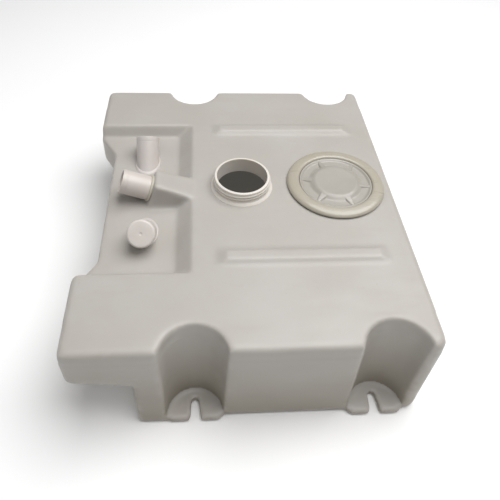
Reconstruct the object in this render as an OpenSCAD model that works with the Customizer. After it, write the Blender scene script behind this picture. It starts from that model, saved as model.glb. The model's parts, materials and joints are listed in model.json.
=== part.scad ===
// Fresh water tank for a food truck: a hollow one-piece moulding with four
// bolt-down feet, a threaded neck, a screwed inspection hatch and three hose spigots.
// Millimetres. Origin at the centre of the base, +Z up, +X towards the hatch end.

/* [Tank] */
// Length along X, over the two ends
tank_l = 510; // [490:5:620]
// Width along Y, over the front and back faces, without the feet
tank_w = 600; // [560:5:740]
// Height from the base to the top face
tank_h = 180; // [170:5:220]
// Thickness of the moulded wall
wall = 5; // [4:0.5:6]
// Radius of the soft outer edges
edge_r = 9; // [7:1:14]
// Radius of the tighter edges round the base
base_r = 6; // [6:0.5:10]
// How far each side leans in from the parting line down to the base
draft = 1; // [0:0.5:4]

/* [Stepped end] */
// Distance from the left end to the wall under the overhang
step_x = 88; // [78:1:98]
// Height of the overhang's underside where it meets that wall
step_z = 92; // [85:1:105]
// Rise of the underside from that wall out to the left end
step_rise = 18; // [0:1:24]
// Depth of the notch in the left end between the two blocks
notch_x = 30; // [15:1:35]

/* [Shelf] */
// Depth of the shelf below the top face
shelf_drop = 20; // [16:1:26]
// Distance from the left end to the top of the shelf's ramp
shelf_x = 170; // [160:1:180]
// Run of the ramp and of the two side slopes
shelf_slope = 26; // [10:1:28]
// Width of the front block, from the front face to the shelf
front_block = 130; // [120:1:140]
// Width of the back block, from the shelf to the back face
back_block = 118; // [110:1:130]

/* [Feet] */
// Radius of the half-round pockets at the top
pocket_r = 46; // [38:1:56]
// Distance from the left end to the first pair of pockets
foot_left = 173; // [165:1:185]
// Distance from the right end to the second pair of pockets
foot_right = 67; // [65:1:80]
// Thickness of the foot flange
foot_t = 12; // [8:1:16]
// How far the flange stands proud of the tank's side
foot_out = 7; // [4:1:10]
// Width of the open bolt slot
slot_w = 13; // [9:0.5:17]
// Distance from the tank's side to the centre of the slot's round end
slot_in = 19; // [14:1:24]

/* [Stiffening ribs] */
// Height of the two raised ribs
rib_h = 6; // [3:0.5:9]
// Width of a rib at its base
rib_w = 34; // [28:1:44]
// Distance from the tank's middle line to the front rib
rib_front = 143; // [140:1:150]
// Distance from the tank's middle line to the back rib
rib_back = 166; // [150:1:170]

/* [Neck] */
// Bore of the open neck
neck_bore = 84; // [70:1:90]
// Outer diameter over the neck's thread
neck_od = 95; // [94:0.5:102]
// Height of the neck above the top face
neck_h = 22; // [18:1:30]
// Thread pitch
neck_pitch = 6; // [5:0.5:7]
// Distance from the left end to the neck
neck_x = 253; // [251:1:265]
// Offset of the neck and the hatch behind the middle line
top_y = 13; // [0:1:15]

/* [Inspection hatch] */
// Outer diameter of the hatch frame
hatch_od = 166; // [160:1:176]
// Bore of the hatch frame, which the lid screws into
hatch_bore = 124; // [120:1:130]
// Distance from the right end to the hatch
hatch_x = 97; // [92:1:101]
// Diameter of the raised boss in the middle of the lid
lid_boss_d = 78; // [60:1:84]

/* [Spigots] */
// Outer diameter of the hose spigots
spigot_od = 40; // [30:1:48]
// Wall of the hose spigots
spigot_wall = 3; // [2:0.5:4]
// Length of the vent and spare spigots above the shelf, along their axis
spigot_l = 46; // [44:1:70]
// Length of the filler spout outside its boss
spout_l = 50; // [40:1:60]
// Tilt of the filler spout above the horizontal
spout_tilt = 21; // [15:1:25]
// Lean of the vent and spare spigots from the vertical
spigot_lean = 45; // [30:1:45]
// Distance from the left end to the vent spigot
vent_x = 90; // [83:1:98]
// Distance from the left end to the spare spigot
spare_x = 95; // [85:1:100]

/* [Hidden] */

$fn = 96;
hull_fn = 20;           // facets round a soft edge
cut = 1;                // how far a cutter runs past a face
fit_gap = 0.1;          // radial gap of a welded or clamped fit
move_gap = 0.4;         // gap between a moving piece and its seat

left = -tank_l / 2;
right = tank_l / 2;
front = -tank_w / 2;
back = tank_w / 2;
shelf_z = tank_h - shelf_drop;

// Pockets and feet
pocket_taper = 4;       // how much smaller the pocket's radius is at the flange
pocket_back = 2;        // how far the pocket's centre lies outside the side face
foot_x = [left + foot_left, right - foot_right];
foot_corner = 8;
sole = 1;               // how far the feet stand below the tank's floor
toe_lap = 6;            // how far the left feet run on into the toe beside them

// Ribs
rib_from = 30;          // from the shelf's ramp to a rib
rib_to = 35;            // from a rib to the right end
rib_slope = 22;         // run of a rib's sloping end

// End notch
notch_lead = 48;        // length of each slanting flank along Y
notch_front = 8;        // how far the notch runs into the front block
notch_back = 14;        // how far it stops short of the back block

// Neck
neck_pos = [left + neck_x, top_y];
thread_h = 2;           // radial height of the neck's thread
thread_turns = 2.4;
thread_root = neck_od / 2 - thread_h;
collar_w = 5;           // how far the base ring stands out from the neck
collar_h = 3;

// Hatch, outside in
hatch_pos = [right - hatch_x, top_y];
gasket_t = 2;
flange_t = 7;
sleeve_wall = 9.5;      // wall of the frame's sleeve
sleeve_r = hatch_bore / 2 + sleeve_wall;
hatch_hole_r = sleeve_r + 0.5;
sleeve_drop = 24;       // how far the sleeve reaches below the top face
lock_t = 9;
lock_r = hatch_od / 2 - 5;
seat_w = 6;             // ledge inside the sleeve that the lid's seal presses on
seat_t = 5;
seal_d = 3;
seat_z = tank_h - sleeve_drop + seat_t;

// Lid
lid_r = hatch_bore / 2 - move_gap;
lid_skirt = 4;
lid_floor_z = tank_h + 1;
lid_t = 4;
lid_boss_z = tank_h + gasket_t + flange_t;
lid_rib_t = 4;
lid_ribs = 6;
lid_rib_first = -10;    // angle of the first rib from +X
seal_gap = 0.3;
lid_bottom_z = seat_z + seal_d + 2 * seal_gap;

// Spigots
spigot_r = spigot_od / 2;
bore_r = spigot_r - spigot_wall;
root_r = spigot_r - 0.5;    // the welded root is a little slimmer than the hose end
weld_w = 3.5;
weld_h = 3;
lean_root = spigot_r + weld_h + 6;  // where a leaning tube is clear of its weld all round
vent_pos = [left + vent_x, 95, shelf_z];
spare_pos = [left + spare_x, -73, shelf_z];

// Filler boss: its top slopes up from the ramp's top edge, along the spout
boss_y = 7;
boss_cover = 6.5;       // moulding around the spout
boss_half = spigot_r + boss_cover;
boss_len = 68;          // from the ramp's top edge to the boss's end face
boss_lap = 4;           // how far the boss's top runs on past the ramp's top edge
boss_socket = 16;       // how far the spout reaches into the boss
spout_dir = [-cos(spout_tilt), 0, sin(spout_tilt)];
spout_up = [sin(spout_tilt), 0, cos(spout_tilt)];
ramp_top = [left + shelf_x + boss_lap, boss_y, tank_h];
spout_start = ramp_top - boss_half * spout_up;

// Plug of the spare spigot
plug_head = 6;
plug_lip = 1.5;         // how far the head stands out over the tube
plug_round = 2;
gate_depth = 0.6;       // sunken mark in the middle of the head
plug_stem = 22;

// Box with soft edges, leaning in by lean towards its base; rise lifts its left lower edge
module soft_box(lo, hi, top_r, low_r, lean, rise = 0) {
    hull()
        for (ix = [0, 1], iy = [0, 1], iz = [0, 1]) {
            r = iz == 0 ? low_r : top_r;
            inset = iz == 0 ? r + lean : r;
            x = ix == 0 ? lo.x + (rise > 0 ? r : inset) : hi.x - inset;
            y = iy == 0 ? lo.y + inset : hi.y - inset;
            z = iz == 0 ? lo.z + r + (ix == 0 ? rise : 0) : hi.z - r;
            translate([x, y, z]) sphere(r = r / cos(180 / hull_fn), $fn = hull_fn);
        }
}

// Body and overhang, shrunk by inset for the cavity
module tank_blocks(inset) {
    top_r = edge_r - inset;
    low_r = max(1, base_r - inset);
    soft_box([left + step_x + inset - draft, front + inset, sole + inset],
             [right - inset, back - inset, tank_h - inset], top_r, low_r, draft);
    soft_box([left + inset, front + inset, step_z + inset],
             [left + step_x + 3 * edge_r + inset, back - inset, tank_h - inset],
             top_r, low_r, draft / 2, step_rise);
}

// Space above the shelf, grown by grow for the cavity
module shelf_space(grow) {
    past = cut / (shelf_drop + grow);   // the slopes run on past the top face
    side = shelf_slope / 2;
    y0 = front + front_block - grow;
    y1 = back - back_block + grow;
    x0 = left - cut - grow;
    x1 = left + shelf_x + grow;
    hull() {
        translate([x0, y0 - past * side, tank_h + cut])
            cube([x1 + past * shelf_slope - x0, y1 - y0 + 2 * past * side, rib_h]);
        translate([x0, y0 + side, shelf_z - grow])
            cube([x1 - shelf_slope - x0, y1 - y0 - shelf_slope, 1]);
    }
}

// Notch in the left end between the two blocks
module end_notch(grow) {
    past = cut * notch_lead / (notch_x + grow);     // the flanks run on past the end face
    y0 = front + front_block - notch_front - grow;
    y1 = back - back_block - notch_back + grow;
    x1 = left + notch_x + grow;
    translate([0, 0, -cut])
        linear_extrude(tank_h + 2 * cut)
            polygon([[left - cut, y0 - past], [x1, y0 + notch_lead],
                     [x1, y1 - notch_lead], [left - cut, y1 + past]]);
}

// One half-round pocket in the front face, over the full height
module pocket(x, grow) {
    top_r = pocket_r + grow;
    translate([x, front - pocket_back, -cut])
        cylinder(r1 = top_r - pocket_taper, r2 = top_r, h = tank_h + 2 * cut);
}

// Repeats its children, made for the front, at the back face too
module front_and_back() {
    children();
    mirror([0, 1, 0]) children();
}

module all_pockets(grow) {
    front_and_back()
        for (x = foot_x) pocket(x, grow);
}

// Toe beside a left foot, where the front face flares out down to the sole
module toe() {
    x0 = left + step_x + 3;
    translate([x0, 0, 0]) rotate([90, 0, 90])
        linear_extrude(foot_x[0] - pocket_r / 2 - x0)
            polygon([[front + 3, step_z + 8], [front - foot_out + 1, 10],
                     [front - foot_out + 1.5, 3], [front - foot_out + 4.5, sole / 2],
                     [front + 20, sole / 2]]);
}

// Foot flange with an open slot for the bolt
module foot(x) {
    half = pocket_r - pocket_taper;
    difference() {
        linear_extrude(foot_t) {
            intersection() {
                union() {
                    translate([x - half, front - foot_out + foot_corner])
                        square([2 * half, foot_out + pocket_r]);
                    translate([x - half + foot_corner, front - foot_out])
                        square([2 * (half - foot_corner), foot_corner + cut]);
                    for (side = [-1, 1])
                        translate([x + side * (half - foot_corner),
                                   front - foot_out + foot_corner])
                            circle(r = foot_corner);
                }
                translate([x, front - pocket_back]) circle(r = half + wall / 2);
            }
            if (x == foot_x[0])
                translate([x - half - toe_lap, front - foot_out + 2])
                    square([toe_lap + foot_corner, foot_out + 2]);
        }
        translate([x, front + slot_in, -cut]) cylinder(d = slot_w, h = foot_t + 2 * cut);
        translate([x - slot_w / 2, front - foot_out - cut, -cut])
            cube([slot_w, foot_out + cut + slot_in, foot_t + 2 * cut]);
    }
}

// Raised rib with sloping sides and ends
module rib(y) {
    len = tank_l - shelf_x - rib_from - rib_to;
    translate([left + shelf_x + rib_from, y, tank_h])
        intersection() {
            translate([0, rib_w / 2, 0]) rotate([90, 0, 0])
                linear_extrude(rib_w)
                    polygon([[0, -wall / 2], [len, -wall / 2],
                             [len - rib_slope, rib_h], [rib_slope, rib_h]]);
            rotate([90, 0, 90])
                linear_extrude(len)
                    polygon([[-rib_w / 2, -wall / 2], [rib_w / 2, -wall / 2],
                             [rib_w / 4, rib_h], [-rib_w / 4, rib_h]]);
        }
}

// Screw thread as one swept ridge, thinned out at both ends
module thread(r, height, pitch, turns) {
    steps = 36;             // rings in a turn
    run_out = 6;            // rings over which an end thins out
    bury = 0.8;             // how deep the ridge is rooted
    film = 0.02;            // height left at an end
    root_half = pitch * 0.3;
    tip_half = pitch * 0.12;
    last = floor(steps * turns);
    points = [for (i = [0 : last])
        let (a = 360 * i / steps, z = pitch * i / steps,
             fade = min(1, i / run_out, (last - i) / run_out), tip = r + film + height * fade)
        for (p = [[r - bury, -root_half], [tip, -tip_half],
                  [tip, tip_half], [r - bury, root_half]])
            [p.x * cos(a), p.x * sin(a), z + p.y]];
    sides = [for (i = [0 : last - 1], k = [0 : 3])
        [4 * i + k, 4 * i + (k + 1) % 4, 4 * i + 4 + (k + 1) % 4, 4 * i + 4 + k]];
    polyhedron(points, concat(sides, [[3, 2, 1, 0]],
                              [[for (k = [0 : 3]) 4 * last + k]]), convexity = 6);
}

module neck() {
    translate([neck_pos.x, neck_pos.y, tank_h - wall / 2]) {
        cylinder(r = thread_root, h = neck_h + wall / 2);
        cylinder(r = neck_od / 2 + collar_w, h = collar_h + wall / 2);
    }
    translate([neck_pos.x, neck_pos.y, tank_h + collar_h + 2.6])
        thread(thread_root, thread_h, neck_pitch, thread_turns);
}

// Moulded boss that carries the filler spout
module boss() {
    end_top = spout_start + boss_len * spout_dir + boss_half * spout_up;
    base_z = shelf_z - wall / 2;
    end_run = (end_top.z - base_z) * tan(spout_tilt);
    translate([0, boss_y + boss_half, 0]) rotate([90, 0, 0])
        linear_extrude(2 * boss_half)
            polygon([[end_top.x - end_run, base_z], [end_top.x, end_top.z],
                     [ramp_top.x + wall, tank_h - wall * tan(spout_tilt)],
                     [ramp_top.x + wall, base_z]]);
}

// Cylinder along the filler spout, from one distance to another past the ramp's top edge
module along_spout(r, from, to) {
    translate(spout_start + from * spout_dir)
        rotate([0, spout_tilt - 90, 0]) cylinder(r = r, h = to - from);
}

// Cylinder that leans back (side = 1) or forward (side = -1) out of the shelf
module leaning(pos, side, r, from, to) {
    translate(pos) rotate([-side * spigot_lean, 0, 0])
        translate([0, 0, from]) cylinder(r = r, h = to - from);
}

// Leaning tube cut off flush with the inside of the shelf's wall
module leaning_tube(pos, side) {
    buried = spigot_r + 2 * wall;
    difference() {
        union() {
            leaning(pos, side, root_r, -buried, spigot_l - cut);
            leaning(pos, side, spigot_r, lean_root, spigot_l);
        }
        leaning(pos, side, bore_r, -buried - cut, spigot_l + cut);
        translate([pos.x - 2 * spigot_r, pos.y - 3 * spigot_r, shelf_z - wall - 2 * buried])
            cube([4 * spigot_r, 6 * spigot_r, 2 * buried]);
    }
}

// Weld bead round a leaning tube where it meets the shelf
module leaning_weld(pos, side) {
    difference() {
        intersection() {
            leaning(pos, side, spigot_r + weld_w, -3 * spigot_r, 3 * spigot_r);
            translate([pos.x - 2 * spigot_r, pos.y - 3 * spigot_r, shelf_z])
                cube([4 * spigot_r, 6 * spigot_r, weld_h]);
        }
        leaning(pos, side, root_r, -4 * spigot_r, 4 * spigot_r);
    }
}

module tank_shell() color("#e9e5dc") {
    difference() {
        union() {
            difference() {
                union() {
                    tank_blocks(0);
                    front_and_back() toe();
                }
                all_pockets(0);
                shelf_space(0);
                end_notch(0);
            }
            front_and_back()
                for (x = foot_x) foot(x);
            rib(-rib_front);
            rib(rib_back);
            neck();
            boss();
        }
        difference() {
            tank_blocks(wall);
            all_pockets(wall);
            shelf_space(wall);
            end_notch(wall);
            boss();
        }
        translate([neck_pos.x, neck_pos.y, tank_h / 2])
            cylinder(d = neck_bore, h = tank_h / 2 + neck_h + cut);
        translate([hatch_pos.x, hatch_pos.y, tank_h - 2 * wall])
            cylinder(r = hatch_hole_r, h = 2 * wall + cut);
        along_spout(bore_r, -2 * spigot_od, boss_len + cut);
        along_spout(root_r, boss_len - boss_socket, boss_len + spigot_od);
        leaning(vent_pos, 1, root_r, -2 * spigot_r, spigot_l);
        leaning(spare_pos, -1, root_r, -2 * spigot_r, spigot_l);
    }
}

module filler_spout() color("#efe4da")
    difference() {
        union() {
            along_spout(root_r, boss_len - boss_socket, boss_len + spout_l - cut);
            along_spout(spigot_r, boss_len + weld_h, boss_len + spout_l);
        }
        along_spout(bore_r, boss_len - boss_socket - cut, boss_len + spout_l + cut);
    }

module filler_weld() color("#dcd2ac")
    difference() {
        along_spout(spigot_r + weld_w, boss_len, boss_len + weld_h);
        along_spout(root_r, boss_len - cut, boss_len + weld_h + cut);
        translate([left, boss_y - 2 * spigot_r, shelf_z - 2 * spigot_r])
            cube([shelf_x, 4 * spigot_r, 2 * spigot_r]);
    }

module vent_spigot() color("#ece6dc") leaning_tube(vent_pos, 1);

module vent_weld() color("#e3dcc8") leaning_weld(vent_pos, 1);

module spare_spigot() color("#ece6dc") leaning_tube(spare_pos, -1);

module spare_weld() color("#e3dcc8") leaning_weld(spare_pos, -1);

// Push-in plug: a round-edged head with a gate mark, and a stem with two sealing beads
module spare_plug() color("#f4f0ea") {
    head_r = spigot_r + plug_lip;
    translate(spare_pos) rotate([spigot_lean, 0, 0])
        translate([0, 0, spigot_l + seal_gap])
            rotate_extrude() difference() {
                union() {
                    square([head_r - plug_round, plug_head]);
                    square([head_r, plug_head - plug_round]);
                    translate([head_r - plug_round, plug_head - plug_round])
                        circle(r = plug_round, $fn = 32);
                    translate([0, -plug_stem]) square([bore_r - 1.2, plug_stem + 1]);
                    for (k = [1, 2])
                        translate([bore_r - 1.4, -k * plug_stem / 3]) circle(r = 1, $fn = 24);
                }
                translate([-spigot_r, -plug_stem - cut]) square([spigot_r, 2 * plug_stem]);
                translate([0, plug_head - gate_depth]) square([2, 2]);
            }
}

// Places the hatch pieces: they are turned profiles about the hatch's own axis
module at_hatch() {
    translate([hatch_pos.x, hatch_pos.y, 0]) children();
}

module hatch_frame() color("#e6ddbd")
    at_hatch() rotate_extrude() difference() {
        union() {
            translate([hatch_bore / 2, tank_h + gasket_t])
                square([(hatch_od - hatch_bore - flange_t) / 2, flange_t]);
            translate([(hatch_od - flange_t) / 2, tank_h + gasket_t + flange_t / 2])
                circle(d = flange_t);
            translate([hatch_bore / 2, tank_h - sleeve_drop])
                square([sleeve_wall, sleeve_drop + gasket_t + cut]);
            translate([hatch_bore / 2 - seat_w, tank_h - sleeve_drop])
                square([seat_w + cut, seat_t]);
        }
        translate([hatch_bore / 2 - 1, tank_h + gasket_t + flange_t])
            rotate(45) square(3, center = true);
    }

module hatch_gasket() color("#4a4a48")
    at_hatch() rotate_extrude()
        translate([hatch_hole_r, tank_h])
            square([hatch_od / 2 - 3 - hatch_hole_r, gasket_t]);

// Ring nut inside the tank that clamps the frame; its rim has spanner notches
module hatch_lock_ring() color("#e6ddbd")
    at_hatch() difference() {
        translate([0, 0, tank_h - wall - lock_t]) difference() {
            cylinder(r = lock_r, h = lock_t);
            translate([0, 0, -cut]) cylinder(r = sleeve_r + fit_gap, h = lock_t + 2 * cut);
        }
        for (i = [0 : 7])
            rotate(45 * i) translate([lock_r - 3, -6, tank_h - wall - lock_t - cut])
                cube([10, 12, lock_t - 3 + cut]);
    }

// Screw lid: skirt, dished floor, middle boss and six gripping ribs
module hatch_lid() color("#f0ece4")
    at_hatch() {
        rotate_extrude() union() {
            translate([lid_r - lid_skirt, lid_bottom_z])
                square([lid_skirt, lid_floor_z + lid_t - lid_bottom_z]);
            translate([0, lid_floor_z]) square([lid_r, lid_t]);
            translate([lid_boss_d / 2 - lid_t, lid_floor_z])
                square([lid_t, lid_boss_z - lid_floor_z]);
            translate([0, lid_boss_z - lid_t]) square([lid_boss_d / 2, lid_t]);
        }
        for (i = [0 : lid_ribs - 1])
            rotate(lid_rib_first + i * 360 / lid_ribs)
                translate([lid_boss_d / 2 - 1, lid_rib_t / 2, lid_floor_z + lid_t])
                    rotate([90, 0, 0]) linear_extrude(lid_rib_t)
                        polygon([[0, -1], [lid_r - lid_boss_d / 2 - 1, -1],
                                 [lid_r - lid_boss_d / 2 - 1, 1], [0, lid_boss_z - lid_floor_z - lid_t]]);
    }

module lid_seal() color("#3a3a38")
    at_hatch() rotate_extrude()
        translate([lid_r - lid_skirt / 2, seat_z + seal_gap + seal_d / 2])
            circle(d = seal_d, $fn = 32);

tank_shell();
filler_spout();
filler_weld();
vent_spigot();
vent_weld();
spare_spigot();
spare_weld();
spare_plug();
hatch_frame();
hatch_gasket();
hatch_lock_ring();
hatch_lid();
lid_seal();
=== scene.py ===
"""Fresh water tank: the moulded shell, its hose spigots and its inspection hatch.

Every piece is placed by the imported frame. Lengths are in metres.
"""

import json
import math

import bpy
import numpy as np
from bpy.props import FloatProperty, FloatVectorProperty, IntProperty, PointerProperty
from mathutils import Matrix, Vector


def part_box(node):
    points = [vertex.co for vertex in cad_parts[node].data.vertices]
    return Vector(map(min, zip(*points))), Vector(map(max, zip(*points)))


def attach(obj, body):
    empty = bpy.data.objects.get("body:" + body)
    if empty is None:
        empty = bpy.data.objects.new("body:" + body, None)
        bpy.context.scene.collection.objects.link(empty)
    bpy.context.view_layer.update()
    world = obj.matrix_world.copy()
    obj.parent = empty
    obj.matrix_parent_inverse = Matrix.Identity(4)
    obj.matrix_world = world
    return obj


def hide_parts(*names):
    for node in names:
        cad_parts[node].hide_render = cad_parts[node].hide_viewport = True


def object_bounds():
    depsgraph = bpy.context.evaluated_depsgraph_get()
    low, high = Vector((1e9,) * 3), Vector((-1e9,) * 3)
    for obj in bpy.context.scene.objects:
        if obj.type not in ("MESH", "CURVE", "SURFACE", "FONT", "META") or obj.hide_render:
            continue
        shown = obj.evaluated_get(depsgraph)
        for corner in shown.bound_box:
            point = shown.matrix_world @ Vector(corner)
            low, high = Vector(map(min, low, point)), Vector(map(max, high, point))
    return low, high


bl_info = {
    "name": "Fresh Water Tank",
    "version": (1, 0, 0),
    "blender": (4, 5, 0),
    "location": "View3D > Sidebar > Water Tank",
    "description": "Builds a moulded fresh water tank with its spigots and hatch",
    "category": "Add Mesh",
}

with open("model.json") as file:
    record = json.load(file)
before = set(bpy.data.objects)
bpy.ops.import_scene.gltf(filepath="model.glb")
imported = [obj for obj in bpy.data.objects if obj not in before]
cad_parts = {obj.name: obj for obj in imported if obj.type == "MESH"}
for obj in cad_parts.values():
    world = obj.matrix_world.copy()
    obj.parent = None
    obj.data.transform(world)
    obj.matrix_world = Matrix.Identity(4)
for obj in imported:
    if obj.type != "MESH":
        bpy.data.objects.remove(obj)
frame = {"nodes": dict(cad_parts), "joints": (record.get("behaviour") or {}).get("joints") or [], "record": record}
CAD_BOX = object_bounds()

MM = 0.001
UP = Vector((0, 0, 1))
MOUNTS = {m["name"]: m for m in frame["record"]["mounts"]}
JOINTS = {j["name"]: j for j in frame["joints"]}

# Levels and places that the frame fixes
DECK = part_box("hatch_gasket")[0].z
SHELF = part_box("vent_weld")[0].z
LEFT, FRONT, RIGHT = CAD_BOX[0].x, CAD_BOX[0].y, CAD_BOX[1].x
NECK = Vector(MOUNTS["neck_bore"]["pos_m"])
NECK_BORE = MOUNTS["neck_bore"]["dims"]["r_mm"] * MM
NECK_TOP = NECK.z + MOUNTS["neck_bore"]["dims"]["length_mm"] * MM / 2
HATCH = Vector(JOINTS["lid_turn"]["pos_m"])
SPOUT = Vector(MOUNTS["filler_hose"]["pos_m"])
SPOUT_AXIS = Vector(MOUNTS["filler_hose"]["axis"]).normalized()
SPOUT_FREE = MOUNTS["filler_hose"]["dims"]["length_mm"] * MM
HOSE_R = MOUNTS["filler_hose"]["dims"]["r_mm"] * MM
VENT_AXIS = Vector(MOUNTS["vent_hose"]["axis"]).normalized()
SPARE_AXIS = Vector(JOINTS["plug_pull"]["axis"]).normalized()
FEET = MOUNTS["foot_slots"]
FOOT_TOP = FEET["pos_m"][2]
FOOT_X = [FEET["pos_m"][0] + side * FEET["dims"]["spacing_x_mm"] * MM / 2 for side in (-1, 1)]
SLOT_Y = FEET["dims"]["spacing_y_mm"] * MM / 2
SLOT_R = FEET["dims"]["hole_r_mm"] * MM

# Slack for merging and picking points
HAIR, TINY, NEAR = 1e-6, 1e-5, 1e-4
# How far a cutting block runs past a face
OVER, PAST, FAR_PAST = 0.001, 0.01, 0.02

# Facets round a full turn
HATCH_FACETS, BAR_FACETS, TUBE_FACETS, BORE_FACETS, SLOT_FACETS = 160, 128, 96, 64, 48

# The shell's second and third materials: the inside, painted darker as shade and given a painted glow, and the
# neck, painted lighter as light coming through its thin wall
INNER_PAINTED_SHADE_GLOW, NECK_PAINTED_LIGHT = 1, 2

# The neck: wall to the thread's crest, and how deep its foot is sunk in the deck
NECK_WALL, NECK_SINK = 0.0055, 0.0025
# How far a pocket's centre line stands out from the face it is cut in
POCKET_OUT = 0.002
# Gap that keeps a bore or a stem clear of the tube round it
BORE_GAP, STEM_GAP = 0.0002, 0.0012


def length(name, default, description):
    return FloatProperty(name=name, default=default, description=description,
                         unit="LENGTH", subtype="DISTANCE", precision=4)


def colour(name, default, description):
    return FloatVectorProperty(name=name, default=default, description=description,
                               subtype="COLOR", size=3, min=0, max=1)


class TankShellSizes(bpy.types.PropertyGroup):
    wall: length("Wall", 0.005, "Thickness of the moulded wall")
    edge: length("Soft edge", 0.009, "Radius of the outer edges")
    base_edge: length("Base edge", 0.006, "Radius of the edges round the base")
    lean: length("Lean", 0.001, "How far each side leans in towards the base")
    foot_out: length("Foot reach", 0.007, "How far each foot stands proud of the side")
    sole: length("Sole", 0.001, "How far the feet stand below the floor")
    step_in: length("Step", 0.088, "Left end to the wall under the overhang")
    step_up: length("Step height", 0.092, "Underside of the overhang at that wall")
    step_rise: length("Step rise", 0.018, "Rise of the underside out to the left end")
    shelf_in: length("Shelf", 0.170, "Left end to the top of the shelf's ramp")
    slope: length("Slope", 0.026, "Run of the shelf's ramp")
    front_block: length("Front block", 0.130, "Front face to the shelf")
    back_block: length("Back block", 0.118, "Shelf to the back face")
    notch: length("End notch", 0.030, "Depth of the notch in the left end")
    notch_lead: length("Notch flank", 0.048, "Run of the notch's slanting flanks")
    notch_front: length("Notch front", 0.008, "Reach of the notch into the front block")
    notch_back: length("Notch back", 0.014, "Gap from the notch to the back block")
    pocket: length("Pocket", 0.046, "Radius of the half-round pockets at the top")
    pocket_taper: length("Pocket taper", 0.004, "How much smaller they are at the feet")
    rib_wide: length("Rib width", 0.034, "Width of the raised ribs")
    rib_high: length("Rib height", 0.006, "Height of the raised ribs")
    rib_front: length("Front rib", -0.143, "Place of the front rib")
    rib_back: length("Back rib", 0.166, "Place of the back rib")
    boss_cover: length("Boss cover", 0.0065, "Moulding round the filler spout")
    boss_length: length("Boss length", 0.068, "Ramp to the end face of the boss")
    seam: length("Seam", 0.0007, "How far the parting seam stands proud")
    voxel: length("Voxel", 0.003, "Grain of the mesh that blends the edges")
    blend: IntProperty(name="Blend", default=9, min=0, description="Smoothing passes")
    corner: length("Front corner", 0.017, "Rounding of the front right upright edge")
    rim_blend: IntProperty(name="Rim blend", default=15, min=0,
                           description="Further smoothing passes on the outer rims")


class TankFittingSizes(bpy.types.PropertyGroup):
    tube_wall: length("Tube wall", 0.003, "Wall of the hose spigots")
    rim: length("Rim", 0.0012, "Rounding of a tube's end")
    weld: length("Weld", 0.0028, "Width of a weld bead")
    thread_depth: length("Thread depth", 0.0013, "Height of the neck's thread")
    thread_pitch: length("Thread pitch", 0.0055, "Pitch of the neck's thread")
    thread_turns: FloatProperty(name="Turns", default=2.4, description="Turns of that thread")
    lid_boss: length("Lid middle", 0.039, "Radius of the raised middle of the lid")
    lid_pitch: length("Lid pitch", 0.008, "Pitch of the lid's thread")
    ribs: IntProperty(name="Lid ribs", default=6, min=2, description="Gripping ribs")
    first_rib: FloatProperty(name="First rib", default=math.radians(-10), subtype="ANGLE",
                             description="Turn of the first rib from +X")


class TankColours(bpy.types.PropertyGroup):
    shell: colour("Shell", (0.420, 0.400, 0.375), "Natural polyethylene")
    spigot: colour("Spigot", (0.585, 0.540, 0.510), "Turned polyethylene")
    weld: colour("Weld", (0.47, 0.445, 0.375), "Yellowed weld bead")
    plug: colour("Plug", (0.65, 0.61, 0.58), "White plug")
    hatch: colour("Hatch frame", (0.395, 0.366, 0.305), "Cream moulding")
    lid: colour("Lid", (0.365, 0.345, 0.312), "Off-white lid")
    rubber: colour("Rubber", (0.05, 0.05, 0.05), "Seals")
    # Painted light: a lighter copy of the shell's polyethylene, standing in for light coming through the neck's
    # thin wall.
    neck: colour("Neck", (0.70, 0.665, 0.62), "Thin wall of the neck")
    # Painted glow: emission colour of the inner wall, standing in for light that comes through it.
    inside: colour("Inside", (0.050, 0.048, 0.043), "Glow of light through the wall")
    floor: colour("Floor", (0.96, 0.96, 0.96), "Studio floor")


class TankStageSizes(bpy.types.PropertyGroup):
    eye: FloatVectorProperty(name="Camera", default=(-0.069, -0.652, 0.795), size=3,
                             subtype="TRANSLATION", description="Place of the camera")
    aim: FloatVectorProperty(name="Aim", default=[math.radians(a) for a in (46.135, -2.542, -3.47)],
                             size=3, subtype="EULER", description="Turn of the camera")
    lens: FloatProperty(name="Lens", default=38.77, description="Focal length in millimetres")
    shift: FloatVectorProperty(name="Shift", default=(0.0159, -0.1072), size=2,
                               description="Framing shift of the camera")


# ---------------------------------------------------------------- modelling by hand

def clear():
    """Leaves edit mode with nothing selected."""
    if bpy.context.mode != "OBJECT":
        bpy.ops.object.mode_set(mode="OBJECT")
    bpy.ops.object.select_all(action="DESELECT")


def only(obj):
    clear()
    obj.select_set(True)
    bpy.context.view_layer.objects.active = obj


def settle(obj):
    """Puts the object's turn and place into its mesh."""
    only(obj)
    bpy.ops.object.transform_apply(location=True, rotation=True, scale=True)
    return obj


def pick(obj, kind, test):
    """Opens obj for editing with only the parts selected whose place passes the test."""
    only(obj)
    bpy.ops.object.mode_set(mode="EDIT")
    bpy.ops.mesh.select_mode(type=kind)
    bpy.ops.mesh.select_all(action="DESELECT")
    bpy.ops.object.mode_set(mode="OBJECT")
    mesh = obj.data
    if kind == "VERT":
        for v in mesh.vertices:
            v.select = test(v.co)
    elif kind == "EDGE":
        for e in mesh.edges:
            a, b = (mesh.vertices[i].co for i in e.vertices)
            e.select = test((a + b) / 2)
    else:
        for f in mesh.polygons:
            f.select = test(f.center)
    bpy.ops.object.mode_set(mode="EDIT")


def whole(obj):
    """Opens obj for editing with all of it selected."""
    only(obj)
    bpy.ops.object.mode_set(mode="EDIT")
    bpy.ops.mesh.select_mode(type="VERT")
    bpy.ops.mesh.select_all(action="SELECT")


def done():
    bpy.ops.object.mode_set(mode="OBJECT")


def tidy_mesh(obj):
    """Merges doubled points and turns the faces outwards."""
    whole(obj)
    bpy.ops.mesh.remove_doubles(threshold=HAIR)
    bpy.ops.mesh.normals_make_consistent(inside=False)
    done()


def apply_modifier(obj, name):
    only(obj)
    bpy.ops.object.modifier_apply(modifier=name)


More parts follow.
